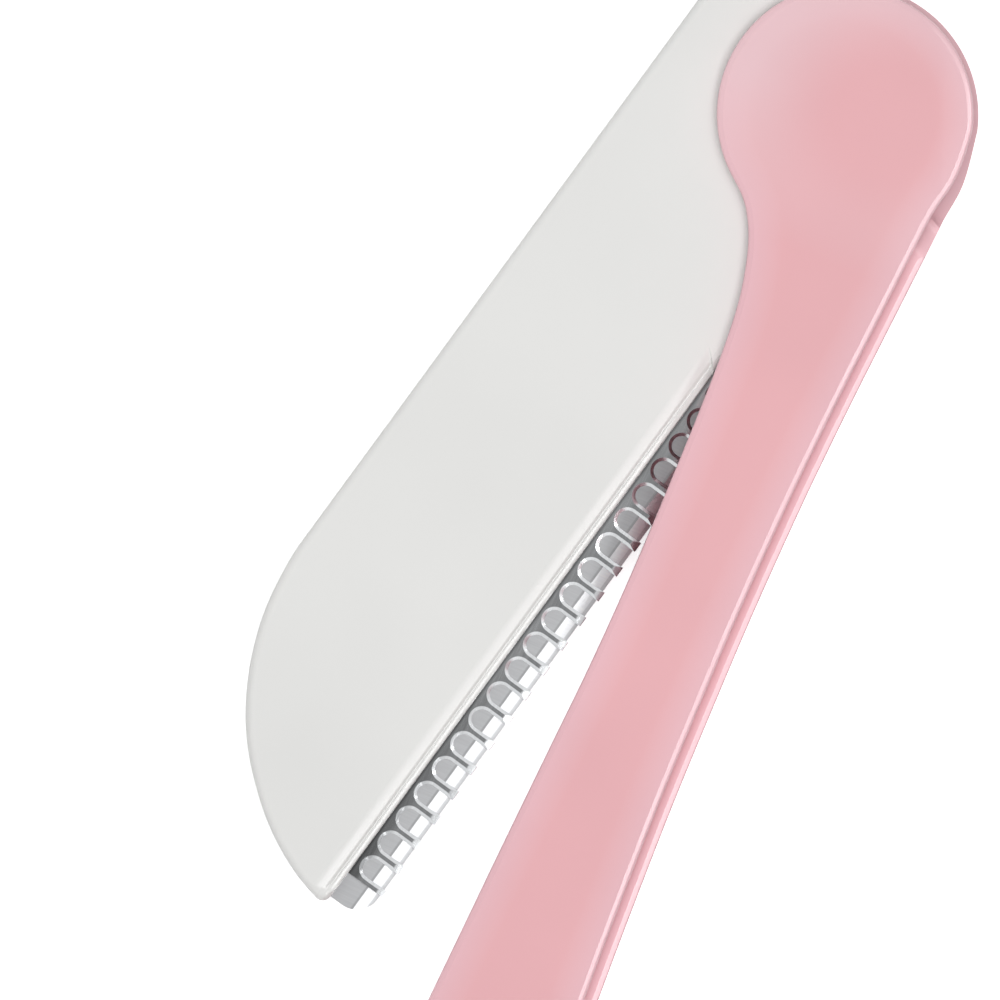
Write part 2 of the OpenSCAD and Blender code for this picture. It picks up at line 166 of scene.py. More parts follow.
class GuardSettings(bpy.types.PropertyGroup):
    """Sizes of the folded guard"""

    guard_t: length("Sheet thickness", "Thickness of the guard's sheet", 0.1)
    sheet_gap: length("Sheet gap", "Gap between the blade, the guard and their pocket", 0.02)
    guard_hold: length("Held depth", "Depth of the guard held behind the lip", 1.6)
    bar_pitch: length("Bar pitch", "Distance from one bar to the next", 1.925)
    bar_w: length("Bar width", "Width of a bar's flat top", 0.24)
    rim_w: length("Rim width", "Width of the sloping rim round a window", 0.22)
    rim_h: length("Rim height", "Drop of the sloping rim round a window", 0.11)
    window_inset: length("Window inset", "From the lip to the round end of a window", 0.25)
    nose_v: length("Fold", "Distance from the pin's axis to the guard's fold", 5.4)
    bare_l: length("Bare blade", "Length of bare blade past the guard at the tip", 1.87)
    window_count: IntProperty(name="Windows", description="Number of windows", default=20, min=1)


class FinishSettings(bpy.types.PropertyGroup):
    """Colours of the finishes"""

    pink: colour("Pink plastic", "Colour of the shells", "#EBB1B6")
    # Painted sheen: paler pink near the shells' edges
    pink_rim_sheen: colour("Pink plastic at the rims", "Colour near the shells' edges", "#EBBCC4")
    # Painted sheen, palest at the head's mouth side
    pink_pale_sheen: colour("Pink plastic, palest", "Colour at the mouth side of the head", "#EDC6CC")
    white: colour("White plastic", "Colour of the carrier", "#E6E6E4")
    blade_steel: colour("Blade steel", "Colour of the blade", "#CACBCD")
    guard_steel: colour("Guard steel", "Colour of the guard", "#D8DADC")
    pin_steel: colour("Pin steel", "Colour of the pivot pin", "#C9CCCF")


# Outlines, as lists of points in a plane

# Angles round the head where its arc gives way to the mouth and spine edges,
# and where the ledge is gone, is even, starts to widen and is at its full width
MOUTH_POLAR, SPINE_POLAR = -36, 106.7
LEDGE_GONE, LEDGE_BACK, LEDGE_START, LEDGE_FULL = 235, 165, 108, 60
# Angles round the pin of the carrier's heel and of its shoulder, and its swing
HEEL_POLAR, SHOULDER_POLAR, SWING = 242, 62, 178
STOP_GAP = 0.2 * MM
# Degrees between the points of an arc, and steps of a curve from one given point to the next
ARC_STEP = 2.0
SPAN_STEPS = 6

# Mouth edge: the share of the handle's length, then the shares of the way from
# the waist out to the head and out to the tail
MOUTH_SHARES = (
    (0.091, 0.806, 0), (0.102, 0.626, 0), (0.118, 0.452, 0), (0.138, 0.313, 0),
    (0.164, 0.192, 0), (0.195, 0.116, 0), (0.2375, 0.066, 0), (0.3, 0.028, 0),
    (0.385, 0, 0), (0.471, 0, 0.05), (0.55, 0, 0.23), (0.6375, 0, 0.43),
    (0.725, 0, 0.6), (0.825, 0, 0.81),
)
SPINE_SHARES = (
    (0.0125, 1, 0), (0.045, 0.83, 0), (0.075, 0.72, 0), (0.115, 0.58, 0),
    (0.156, 0.437, 0), (0.2, 0.286, 0), (0.25, 0.15, 0), (0.3, 0.055, 0),
    (0.385, 0, 0), (0.456, 0, 0.035), (0.55, 0, 0.126), (0.65, 0, 0.33),
    (0.725, 0, 0.52), (0.825, 0, 0.77),
)
# Curved tip: the share of the tip's length, then of the carrier's width
TIP_SHARES = (
    (0, 0), (0.123, 0.015), (0.243, 0.042), (0.3535, 0.083), (0.457, 0.136),
    (0.5535, 0.2), (0.643, 0.274), (0.725, 0.361), (0.799, 0.46), (0.8675, 0.569),
    (0.927, 0.692), (0.975, 0.8325),
)
# Shoulder: the share of the way from the knuckle to the blade's inner end, then
# the share of the shoulder's height above the lip that is left
SHOULDER_SHARES = ((0.2, 0.91), (0.42, 0.74), (0.65, 0.52), (0.83, 0.27))
# Places of the blade's studs, as shares of its length
STUD_SHARES = (0.14, 0.5, 0.86)

# Cross-section of what the land along the lip cuts away, as [v, z] in mm
LAND_SECTION = (
    (1.42, 1.7), (1.42, 1.402), (1.52, 1.396), (1.62, 1.38), (1.72, 1.353), (1.82, 1.32),
    (2.12, 1.21), (2.2, 1.175), (2.25, 1.12), (2.32, 1.05), (2.37, 1.05), (2.42, 1.115),
    (2.46, 1.12), (2.7, 1.04), (2.74, 0.98), (2.765, 0.87), (2.775, 0.75), (3.4, 0.75),
    (3.4, 1.7),
)
# Where the land's inner side meets the carrier's face
LAND_V, LAND_Z = 1.42 * MM, 1.4 * MM
# How far the land starts before the blade and ends before the tip, both at its inner side
LAND_LEAD, LAND_TAIL = 0.35 * MM, 0.6 * MM
# How its ends slope: how far the root moves along for each mm across and each mm down,
# and how far the tip moves back for each mm down
ROOT_ACROSS, ROOT_DOWN, TIP_DOWN = 0.9, 0.5, 2
# The outer and the inner face of the guard's sheet, as they slope down to the fold: the
# distance from the fold in mm, then the share of the face's height
OUTSIDE = ((-0.62, 1), (-0.54, 0.98), (-0.46, 0.926), (-0.04, 0.54), (-0.01, 0.3))
INSIDE = ((-0.65, 1), (-0.56, 0.97), (-0.48, 0.865), (-0.14, 0.37), (-0.11, 0.2))


def polar(r, a):
    return Vector((r * cos(radians(a)), r * sin(radians(a))))


def arc(centre, r, start, end, step=ARC_STEP):
    n = max(1, ceil(abs(end - start) / step))
    return [Vector(centre) + polar(r, start + (end - start) * i / n) for i in range(n + 1)]


def curve(points):
    """A smooth curve from the second point of a list up to its last point but one."""
    points = [Vector(p) for p in points]
    found = []
    for a, b, c, d in zip(points, points[1:], points[2:], points[3:]):
        for k in range(SPAN_STEPS):
            t = k / SPAN_STEPS
            found.append((
                2 * b + (c - a) * t + (2 * a - 5 * b + 4 * c - d) * t ** 2
                + (3 * b - a - 3 * c + d) * t ** 3
            ) / 2)
    return found


def inset(points, distances):
    """An outline moved inwards, by one distance or by one for each of its points."""
    n = len(points)
    if not hasattr(distances, "__len__"):
        distances = [distances] * n
    normals = []
    for i in range(n):
        d = points[(i + 1) % n] - points[i]
        normals.append(Vector((d.y, -d.x)).normalized())
    return [
        p - (before + after) / (1 + before.dot(after)) * distance
        for p, before, after, distance in zip(points, normals[-1:] + normals, normals, distances)
    ]


def ease(t):
    t = min(1.0, max(0.0, t))
    return t * t * (3 - 2 * t)


def edge_points(s, shares, waist, head, tail):
    return [
        Vector((a * s.handle_l, waist + b * (head - waist) + c * (tail - waist)))
        for a, b, c in shares
    ]


def handle_outlines(s):
    """The handle's outline, and the one that stands back from it by the ledge."""
    tail_r = (s.tail_mouth + s.tail_spine) / 2
    tail = Vector((s.handle_l - tail_r, (s.tail_spine - s.tail_mouth) / 2))
    head_arc = arc((0, 0), s.head_r, SPINE_POLAR, 360 + MOUTH_POLAR)
    tail_arc = arc(tail, tail_r, -90, 90)
    mouth = curve(
        head_arc[-2:] + edge_points(s, MOUTH_SHARES, -s.waist_mouth, head_arc[-1].y, -s.tail_mouth)
        + tail_arc[:2]
    )
    spine = curve(
        tail_arc[-2:] + edge_points(s, SPINE_SHARES, s.waist_spine, s.head_spine, s.tail_spine)[::-1]
        + head_arc[:2]
    )

    def ledge_by_angle(p):
        a = degrees(atan2(p.y, p.x)) % 360
        if a > LEDGE_START:
            return s.head_ledge_w * ease((LEDGE_GONE - a) / (LEDGE_GONE - LEDGE_BACK))
        grown = ease((LEDGE_START - a) / (LEDGE_START - LEDGE_FULL))
        return s.head_ledge_w + (s.ledge_w - s.head_ledge_w) * grown

    outline = head_arc[:-1] + mouth + tail_arc[:-1] + spine
    ledge = (
        [ledge_by_angle(p) for p in head_arc[:-1]] + [0] * len(mouth)
        + [s.ledge_w * ease((p.y + s.tail_mouth) / tail_r) for p in tail_arc[:-1]]
        + [ledge_by_angle(p) for p in spine]
    )
    return outline, inset(outline, ledge)


def tail_studs(s):
    tail_r = (s.tail_mouth + s.tail_spine) / 2
    y = (s.tail_spine - s.tail_mouth) / 2
    return [(s.handle_l - tail_r, y), (s.tail_wall_x + s.wall_t + 2 * s.stud_r, y)]


def carrier_outline(s, b):
    """The carrier's outline, counter-clockwise from the heel."""
    line = polar(1, HEEL_POLAR)
    reach = (s.heel_r * (1 - line.x) - s.back_v) / line.y
    heel = reach * line + s.heel_r * Vector((-line.y, line.x))
    width = s.back_v + s.lip_v
    tip = [
        Vector((s.carrier_l - s.tip_l + a * s.tip_l, -s.back_v + c * width))
        for a, c in TIP_SHARES
    ]
    lead = Vector((2 * tip[0].x - tip[1].x, -s.back_v))
    corner = arc(
        (s.carrier_l - s.tip_corner_r, s.lip_v - s.tip_corner_r), s.tip_corner_r, 0, 90, 15
    )
    start = polar(s.knuckle_r, SHOULDER_POLAR)
    shoulder = [
        Vector((start.x + a * (b.blade_u - start.x), s.lip_v + c * (start.y - s.lip_v)))
        for a, c in SHOULDER_SHARES
    ]
    return (
        arc(heel, s.heel_r, HEEL_POLAR - 90, 270, 5)
        + curve([lead] + tip + corner[:2]) + corner
        + [Vector((b.blade_u, s.lip_v))] + shoulder[::-1]
        + arc((0, 0), s.knuckle_r, SHOULDER_POLAR, HEEL_POLAR, 4)
    )


def rounding(r, count=7, tilt=0.0, slope_w=0.0):
    """Steps inwards and outwards that round an edge off, up to a slope where it has one."""
    turns = [(pi / 2 - tilt) * i / count for i in range(count + 1)]
    steps = [
        (r * (cos(a) - cos(c)), r * (sin(c) - sin(a)))
        for a, c in zip(turns, turns[1:])
    ]
    return steps + [(slope_w, slope_w * tan(tilt))] if slope_w else steps


def rise(steps):
    return sum(step[1] for step in steps)


# Modelling

def select_only(piece):
    if bpy.context.object and bpy.context.object.mode != "OBJECT":
        bpy.ops.object.mode_set(mode="OBJECT")
    bpy.ops.object.select_all(action="DESELECT")
    piece.select_set(True)
    bpy.context.view_layer.objects.active = piece


def pick_faces(piece, test):
    """Selects the faces that pass a test, in edit mode."""
    mesh = bmesh.from_edit_mesh(piece.data)
    for face in mesh.faces:
        face.select_set(test(face))
    mesh.select_flush_mode()
    bmesh.update_edit_mesh(piece.data)


def prism(name, outline, low, high, top=(), bottom=()):
    """A plate over an outline, whose top and bottom faces are inset step by step."""
    bpy.ops.object.select_all(action="DESELECT")
    bpy.ops.mesh.primitive_circle_add(
        vertices=len(outline), radius=10 * MM, fill_type="NGON", location=(0, 0, 0)
    )
    piece = bpy.context.object
    piece.name = piece.data.name = name
    order = sorted(
        piece.data.vertices, key=lambda v: atan2(v.co.y, v.co.x) % (2 * pi) + 1e-6
    )
    for vertex, p in zip(order, outline):
        vertex.co = (p[0], p[1], low)
    bpy.ops.object.mode_set(mode="EDIT")
    bpy.ops.mesh.select_mode(type="FACE")
    bpy.ops.mesh.select_all(action="SELECT")
    bpy.ops.mesh.extrude_region_move(TRANSFORM_OT_translate={"value": (0, 0, high - low)})
    bpy.ops.mesh.select_all(action="SELECT")
    bpy.ops.mesh.normals_make_consistent(inside=False)
    for steps, z in ((top, high), (bottom, low)):
        if steps:
            pick_faces(piece, lambda f: all(abs(v.co.z - z) < TOUCHING for v in f.verts))
        for thickness, depth in steps:
            bpy.ops.mesh.inset(thickness=thickness, depth=depth, use_even_offset=True)
    bpy.ops.object.mode_set(mode="OBJECT")
    return piece


def cylinder(name, r, x, y, low, high, chamfer=0.0, vertices=64):
    """A turned cylinder on its own, with a chamfered top."""
    circle = [Vector((x, y)) + polar(r, 360 * i / vertices) for i in range(vertices)]
    top = ((chamfer, chamfer),) if chamfer else ()
    return prism(name, circle, low, high - chamfer, top)


def block(name, x0, x1, y0, y1, low, high):
    corners = [Vector(p) for p in ((x0, y0), (x1, y0), (x1, y1), (x0, y1))]
    return prism(name, corners, low, high)


def face_outwards(piece):
    """Turns all the faces of a piece outwards."""
    select_only(piece)
    bpy.ops.object.mode_set(mode="EDIT")
    bpy.ops.mesh.select_all(action="SELECT")
    bpy.ops.mesh.normals_make_consistent(inside=False)
    bpy.ops.object.mode_set(mode="OBJECT")


def lay_along(piece, start=0.0):
    """Lays a prism, drawn over a cross-section, along the carrier from a start."""
    for vertex in piece.data.vertices:
        v, z, u = vertex.co
        vertex.co = (start + u, v, z)


def combine(piece, tool, operation):
    """Cuts the tool from the piece, joins it on or keeps what they share, and deletes it."""
    select_only(piece)
    modifier = piece.modifiers.new(operation.title(), "BOOLEAN")
    modifier.operation = operation
    modifier.solver = "EXACT"
    modifier.object = tool
    before = len(piece.data.polygons)
    bpy.ops.object.modifier_apply(modifier=modifier.name)
    if not len(piece.data.polygons):
        raise RuntimeError(f"{piece.name}: nothing is left of {before} faces after {tool.name}")
    bpy.data.objects.remove(tool)


def cut(piece, *tools):
    for tool in tools:
        combine(piece, tool, "DIFFERENCE")


def place(piece, turn=0.0, lift=0.0):
    """Turns a piece about the pin, lifts it, and keeps that in its mesh."""
    select_only(piece)
    piece.rotation_euler = (0, 0, turn)
    piece.location = (0, 0, lift)
    bpy.ops.object.transform_apply(location=True, rotation=True, scale=True)


def twin(piece, name):
    """A copy of a piece, with its own mesh, mirrored to the other side of z = 0."""
    select_only(piece)
    bpy.ops.object.duplicate(linked=False)
    copy = bpy.context.object
    copy.name = copy.data.name = name
    copy.scale = (1, 1, -1)
    bpy.ops.object.transform_apply(location=True, rotation=True, scale=True)
    face_outwards(copy)
    return copy


def finish_piece(piece, body, node, material, smooth=40):
    """Shades a piece, gives it its finish, and says what it rides on and stands for."""
    select_only(piece)
    bpy.ops.object.mode_set(mode="EDIT")
    bpy.ops.mesh.select_all(action="SELECT")
    bpy.ops.mesh.remove_doubles(threshold=TOUCHING)
    bpy.ops.mesh.dissolve_degenerate(threshold=TOUCHING)
    bpy.ops.object.mode_set(mode="OBJECT")
    bpy.ops.object.shade_smooth_by_angle(angle=radians(smooth))
    weighted = piece.modifiers.new("Weighted normals", "WEIGHTED_NORMAL")
    weighted.keep_sharp = True
    weighted.weight = 90
    bpy.ops.object.modifier_apply(modifier=weighted.name)
    piece.data.materials.clear()
    piece.data.materials.append(material)
    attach(piece, body)
    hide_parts(node)


# Finishes

def add(tree, kind, settings=None, **links):
    """Adds a node with its settings, and links sockets of other nodes into its inputs."""
    node = tree.nodes.new(kind)
    for key, value in (settings or {}).items():
        if isinstance(key, int) or key in node.inputs:
            node.inputs[key].default_value = value
        else:
            setattr(node, key, value)
    for key, socket in links.items():
        names = [i.name.replace(" ", "_") for i in node.inputs]
        slot = int(key[1:]) if key[1:].isdigit() else names.index(key)
        tree.links.new(socket, node.inputs[slot])
    return node


def new_material(name):
    """An empty material with its output, its shader and the object's own coordinates."""
    if name in bpy.data.materials:
        return bpy.data.materials[name], None, None, None
    material = bpy.data.materials.new(name)
    material.use_nodes = True
    tree = material.node_tree
    tree.nodes.clear()
    at = add(tree, "ShaderNodeTexCoord").outputs["Object"]
    shader = add(tree, "ShaderNodeBsdfPrincipled")
    output = add(tree, "ShaderNodeOutputMaterial")
    tree.links.new(shader.outputs[0], output.inputs[0])
    return material, tree, shader, at


def rgba(colour_value, factor=1.0):
    return (*[c * factor for c in colour_value], 1.0)


# Where most of a noise's values lie, and where nearly all of them lie, with soft ends
NOISE_MOST = {"From Min": 0.3, "From Max": 0.7}
NOISE_ALL = {"From Min": 0.2, "From Max": 0.8, "interpolation_type": "SMOOTHSTEP"}
ABS_IOR = 1.53


def along_carrier(tree, at, carrier, stretch=(1, 1, 1)):
    """The object's coordinates turned to the carrier's own length and width."""
    return add(
        tree, "ShaderNodeMapping", {"Rotation": (0, 0, carrier.carrier_open), "Scale": stretch},
        Vector=at,
    ).outputs[0]


def carrier_place(tree, at, carrier):
    """How far along the carrier, and how far across it, a point lies."""
    place_node = add(tree, "ShaderNodeSeparateXYZ", Vector=along_carrier(tree, at, carrier))
    return place_node.outputs["X"], place_node.outputs["Y"]


def dress(tree, shader, tint, gloss, bump=None):
    """Links what gives a shader its base colour, its roughness and perhaps its bump."""
    tree.links.new(tint.outputs[0], shader.inputs["Base Color"])
    tree.links.new(gloss.outputs[0], shader.inputs["Roughness"])
    if bump:
        tree.links.new(bump.outputs[0], shader.inputs["Normal"])


def pink_plastic(c):
    """Glossy injection-moulded ABS: an even body colour with a painted paler sheen near the
    rims and over the head's mouth side, with the faint orange peel and soft flow marks of a polished
    mould."""
    material, tree, shader, at = new_material("Moulded glossy ABS, pink")
    if tree is None:
        return material
    shader.inputs["IOR"].default_value = ABS_IOR
    rim = add(tree, "ShaderNodeAttribute", {"attribute_name": "rim"})
    # Painted sheen: the head pales away from a spot near the pin, and less so towards the handle
    spot = add(
        tree, "ShaderNodeVectorMath",
        {"operation": "MULTIPLY_ADD", 1: (1, 1, 0), 2: (0.5 * MM, -2.5 * MM, 0)}, i0=at,
    )
    off = add(tree, "ShaderNodeVectorMath", {"operation": "LENGTH"}, i0=spot.outputs[0])
    away = add(
        tree, "ShaderNodeMapRange",
        {"interpolation_type": "SMOOTHSTEP", "From Min": 3 * MM, "From Max": 10 * MM},
        Value=off.outputs["Value"],
    )
    along = add(tree, "ShaderNodeSeparateXYZ", Vector=at)
    near = add(
        tree, "ShaderNodeMapRange",
        {"From Min": 0.0, "From Max": 9 * MM, "To Min": 1.0, "To Max": 0.0},
        Value=along.outputs["X"],
    )
    pale = add(
        tree, "ShaderNodeMath", {"operation": "MULTIPLY"}, i0=away.outputs[0], i1=near.outputs[0]
    )
    # Painted sheen: the pink pales towards the shells' outlines
    walls = add(
        tree, "ShaderNodeMixRGB", {1: rgba(c.pink), 2: rgba(c.pink_rim_sheen)}, Fac=rim.outputs["Fac"]
    )
    body = add(
        tree, "ShaderNodeMixRGB", {2: rgba(c.pink_pale_sheen)}, Fac=pale.outputs[0], i1=walls.outputs[0]
    )
    # Flow marks, about 11 mm across
    flow = add(
        tree, "ShaderNodeTexNoise", {"Scale": 90.0, "Detail": 2.0, "Roughness": 0.4}, Vector=at
    )
    shade = add(
        tree, "ShaderNodeMapRange", {**NOISE_ALL, "To Min": 0.98, "To Max": 1.02},
        Value=flow.outputs["Fac"],
    )
    tint = add(
        tree, "ShaderNodeVectorMath", {"operation": "SCALE"},
        Vector=body.outputs[0], Scale=shade.outputs[0],
    )
    gloss = add(
        tree, "ShaderNodeMapRange", {**NOISE_ALL, "To Min": 0.18, "To Max": 0.26},
        Value=flow.outputs["Fac"],
    )
    # Orange peel, about 0.8 mm from crest to crest
    peel = add(tree, "ShaderNodeTexNoise", {"Scale": 1250.0, "Detail": 1.0}, Vector=at)
    bump = add(
        tree, "ShaderNodeBump", {"Strength": 0.06, "Distance": 0.02 * MM},
        Height=peel.outputs["Fac"],
    )
    dress(tree, shader, tint, gloss, bump)
    return material


def white_plastic(c, carrier):
    """Satin injection-moulded ABS: milky white from a finely spark-eroded mould, whose
    land along the lip was polished, with a faint grain."""
    material, tree, shader, at = new_material("Moulded satin ABS, white")
    if tree is None:
        return material
    shader.inputs["IOR"].default_value = ABS_IOR
    # Soft clouds, about 14 mm across
    cloud = add(
        tree, "ShaderNodeTexNoise", {"Scale": 70.0, "Detail": 2.0, "Roughness": 0.45}, Vector=at
    )
    shade = add(
        tree, "ShaderNodeMapRange", {**NOISE_MOST, "To Min": 0.975, "To Max": 1.02},
        Value=cloud.outputs["Fac"],
    )
    tint = add(
        tree, "ShaderNodeVectorMath", {"operation": "SCALE", 0: c.white}, Scale=shade.outputs[0]
    )
    satin = add(
        tree, "ShaderNodeMapRange", {**NOISE_MOST, "To Min": 0.34, "To Max": 0.44},
        Value=cloud.outputs["Fac"],
    )
    across = carrier_place(tree, at, carrier)[1]
    polish = add(
        tree, "ShaderNodeMapRange",
        {"From Min": carrier.lip_v - 1.3 * MM, "From Max": carrier.lip_v - 0.3 * MM,
         "To Min": 1.0, "To Max": 0.45},
        Value=across,
    )
    gloss = add(
        tree, "ShaderNodeMath", {"operation": "MULTIPLY"},
        i0=satin.outputs[0], i1=polish.outputs[0],
    )
    # Eroded grain, about 0.15 mm
    grain = add(tree, "ShaderNodeTexNoise", {"Scale": 6500.0, "Detail": 1.0}, Vector=at)
    bump = add(
        tree, "ShaderNodeBump", {"Strength": 0.08, "Distance": 0.01 * MM},
        Height=grain.outputs["Fac"],
    )
    dress(tree, shader, tint, gloss, bump)
    return material


def blade_steel(c, carrier, blade):
    """Ground stainless steel: a satin flat with grinding lines across the strip, a polished
    bevel and a honed facet along the edge, both brightened by painted highlights, and a
    painted shade line where the bevel starts."""
    material, tree, shader, at = new_material("Ground stainless steel")
    if tree is None:
        return material
    shader.inputs["Metallic"].default_value = 1.0
    across = carrier_place(tree, at, carrier)[1]
    bevel_v = blade.edge_v - blade.bevel_w
    honed_v = blade.edge_v - blade.honed_w
    # Base tone by the distance across the blade, from 1 mm behind the bevel to the edge, with
    # painted light in it: a painted shade line where the bevel starts, and painted highlights
    # that make the bevel and the honed facet brighter than the flat
    flat, grind_line_shade, bevel, honed = 1.0, 0.8, 1.64, 1.31
    start, end = bevel_v - 1.0 * MM, blade.edge_v
    share = add(tree, "ShaderNodeMapRange", {"From Min": start, "From Max": end}, Value=across)
    ramp = add(tree, "ShaderNodeValToRGB", i0=share.outputs[0])
    elements = ramp.color_ramp.elements
    elements[0].color = rgba(c.blade_steel, flat)
    elements[1].color = rgba(c.blade_steel, honed)
    for v, tone in (
        (bevel_v - 0.18 * MM, flat), (bevel_v - 0.1 * MM, grind_line_shade),
        (bevel_v - 0.02 * MM, grind_line_shade), (bevel_v + 0.02 * MM, bevel),
        (honed_v - 0.02 * MM, bevel), (honed_v + 0.02 * MM, honed),
    ):
        element = elements.new((v - start) / (end - start))
        element.color = rgba(c.blade_steel, tone)
    # Grinding lines run across the strip, drawn 0.12 mm apart so that they show
    lines = add(
        tree, "ShaderNodeTexNoise", {"Scale": 1.0, "Detail": 3.0, "Roughness": 0.6},
        Vector=along_carrier(tree, at, carrier, (8000, 300, 300)),
    )
    shade = add(
        tree, "ShaderNodeMapRange", {**NOISE_MOST, "To Min": 0.94, "To Max": 1.04},
        Value=lines.outputs["Fac"],
    )
    tint = add(
        tree, "ShaderNodeVectorMath", {"operation": "SCALE"},
        Vector=ramp.outputs[0], Scale=shade.outputs[0],
    )
    gloss = add(
        tree, "ShaderNodeMapRange",
        {"From Min": bevel_v - 0.05 * MM, "From Max": bevel_v, "To Min": 0.45, "To Max": 0.3},
        Value=across,
    )
    bump = add(
        tree, "ShaderNodeBump", {"Strength": 0.15, "Distance": 0.004 * MM},
        Height=lines.outputs["Fac"],
    )
    dress(tree, shader, tint, gloss, bump)
    return material


def guard_steel(c, carrier):
    """Pressed stainless sheet: bright rolled surface with fine rolling lines along the guard,
    with painted shade beside the lip, and a painted reflection under the lip that is
    brighter beside the pivot and darker towards the tip."""
    material, tree, shader, at = new_material("Pressed stainless sheet")
    if tree is None:
        return material
    shader.inputs["Metallic"].default_value = 1.0
    along, across = carrier_place(tree, at, carrier)
    lip = carrier.lip_v
    # Rolling lines along the guard, drawn 0.11 mm apart so that they show
    lines = add(
        tree, "ShaderNodeTexNoise", {"Scale": 1.0, "Detail": 2.0, "Roughness": 0.5},
        Vector=along_carrier(tree, at, carrier, (400, 9000, 9000)),
    )
    shade = add(
        tree, "ShaderNodeMapRange", {**NOISE_MOST, "To Min": 0.93, "To Max": 1.03},
        Value=lines.outputs["Fac"],
    )
    gloss = add(
        tree, "ShaderNodeMapRange", {**NOISE_MOST, "To Min": 0.14, "To Max": 0.2},
        Value=lines.outputs["Fac"],
    )
    # Painted shade darkens the sheet along the lip
    lip_shade = add(
        tree, "ShaderNodeMapRange",
        {"interpolation_type": "SMOOTHSTEP", "From Min": lip + 0.02 * MM,
         "From Max": lip + 0.22 * MM, "To Min": 0.5, "To Max": 1.0},
        Value=across,
    )
    # Painted reflection: the strip under the lip is brighter beside the pivot and darker
    # towards the tip, and a little uneven over about 5 mm by 2 mm
    patches = add(
        tree, "ShaderNodeTexNoise", {"Scale": 1.0, "Detail": 1.0},
        Vector=along_carrier(tree, at, carrier, (200, 500, 500)),
    )
    uneven = add(
        tree, "ShaderNodeMapRange",
        {"From Min": 0.35, "From Max": 0.65, "To Min": 0.88, "To Max": 1.12},
        Value=patches.outputs["Fac"],
    )
    pivot_sheen = add(
        tree, "ShaderNodeMapRange",
        {"From Min": 34 * MM, "From Max": 56 * MM, "To Min": 1.25, "To Max": 0.5},
        Value=along,
    )
    strip = add(
        tree, "ShaderNodeMapRange",
        {"From Min": lip + 0.5 * MM, "From Max": lip + 0.9 * MM, "To Min": 1.0, "To Max": 0.0},
        Value=across,
    )
    uneven_and_sheen = add(
        tree, "ShaderNodeMath", {"operation": "MULTIPLY"}, i0=uneven.outputs[0], i1=pivot_sheen.outputs[0]
    )
    # The painted reflection is laid only on the strip under the lip
    pressed = add(
        tree, "ShaderNodeMix", {"data_type": "FLOAT", 2: 1.0},
        i0=strip.outputs[0], i3=uneven_and_sheen.outputs[0],
    )
    tone = add(
        tree, "ShaderNodeMath", {"operation": "MULTIPLY"}, i0=shade.outputs[0], i1=lip_shade.outputs[0]
    )
    tone = add(
        tree, "ShaderNodeMath", {"operation": "MULTIPLY"}, i0=tone.outputs[0], i1=pressed.outputs[0]
    )
    tint = add(
        tree, "ShaderNodeVectorMath", {"operation": "SCALE", 0: c.guard_steel},
        Scale=tone.outputs[0],
    )
    # The sheet isn't quite flat: it waves over about 8 mm
    waves = add(tree, "ShaderNodeTexNoise", {"Scale": 120.0, "Detail": 0.0}, Vector=at)
    bump = add(
        tree, "ShaderNodeBump", {"Strength": 1.0, "Distance": 0.75 * MM},
        Height=waves.outputs["Fac"],
    )
    dress(tree, shader, tint, gloss, bump)
    return material


def pin_steel(c):
    """Turned steel: fine feed rings round the axis of the pin."""
    material, tree, shader, at = new_material("Turned steel")
    if tree is None:
        return material
    shader.inputs["Metallic"].default_value = 1.0
    # Feed rings, about 0.13 mm apart
    rings = add(
        tree, "ShaderNodeTexWave",
        {"wave_type": "BANDS", "bands_direction": "Z", "Scale": 2500.0, "Distortion": 0.4},
        Vector=at,
    )
    shade = add(
        tree, "ShaderNodeMapRange", {"To Min": 0.9, "To Max": 1.0}, Value=rings.outputs["Fac"]
    )
    tint = add(
        tree, "ShaderNodeVectorMath", {"operation": "SCALE", 0: c.pin_steel},
        Scale=shade.outputs[0],
    )
    gloss = add(
        tree, "ShaderNodeMapRange", {"To Min": 0.2, "To Max": 0.26}, Value=rings.outputs["Fac"]
    )
    dress(tree, shader, tint, gloss)
    return material


def paint_rim(piece, outline):
    """Keeps how near each point is to an outline: 1 on it, and 0 a band's width inside, which masks the
    pink's painted paler sheen.
    """
    attribute = piece.data.attributes.new("rim", "FLOAT", "POINT")
    sides = list(zip(outline, outline[1:] + outline[:1]))
    for i, vertex in enumerate(piece.data.vertices):
        p = Vector(vertex.co[:2])
        nearest = min(
            (p - a - (b - a) * min(1, max(0, (p - a).dot(b - a) / (b - a).length_squared))).length
            for a, b in sides
        )
        attribute.data[i].value = 1 - min(1, nearest / RIM_BAND)


# Operators

def settings_of(context):
    scene = context.scene
    return (
        scene.razor_handle, scene.razor_carrier, scene.razor_blade, scene.razor_guard,
        scene.razor_finish,
    )


def seam_height(handle, carrier):
    return handle.rear_t + carrier.carrier_t + 2 * carrier.side_gap


def middle_height(handle, carrier):
    return handle.rear_t + carrier.side_gap + carrier.carrier_t / 2


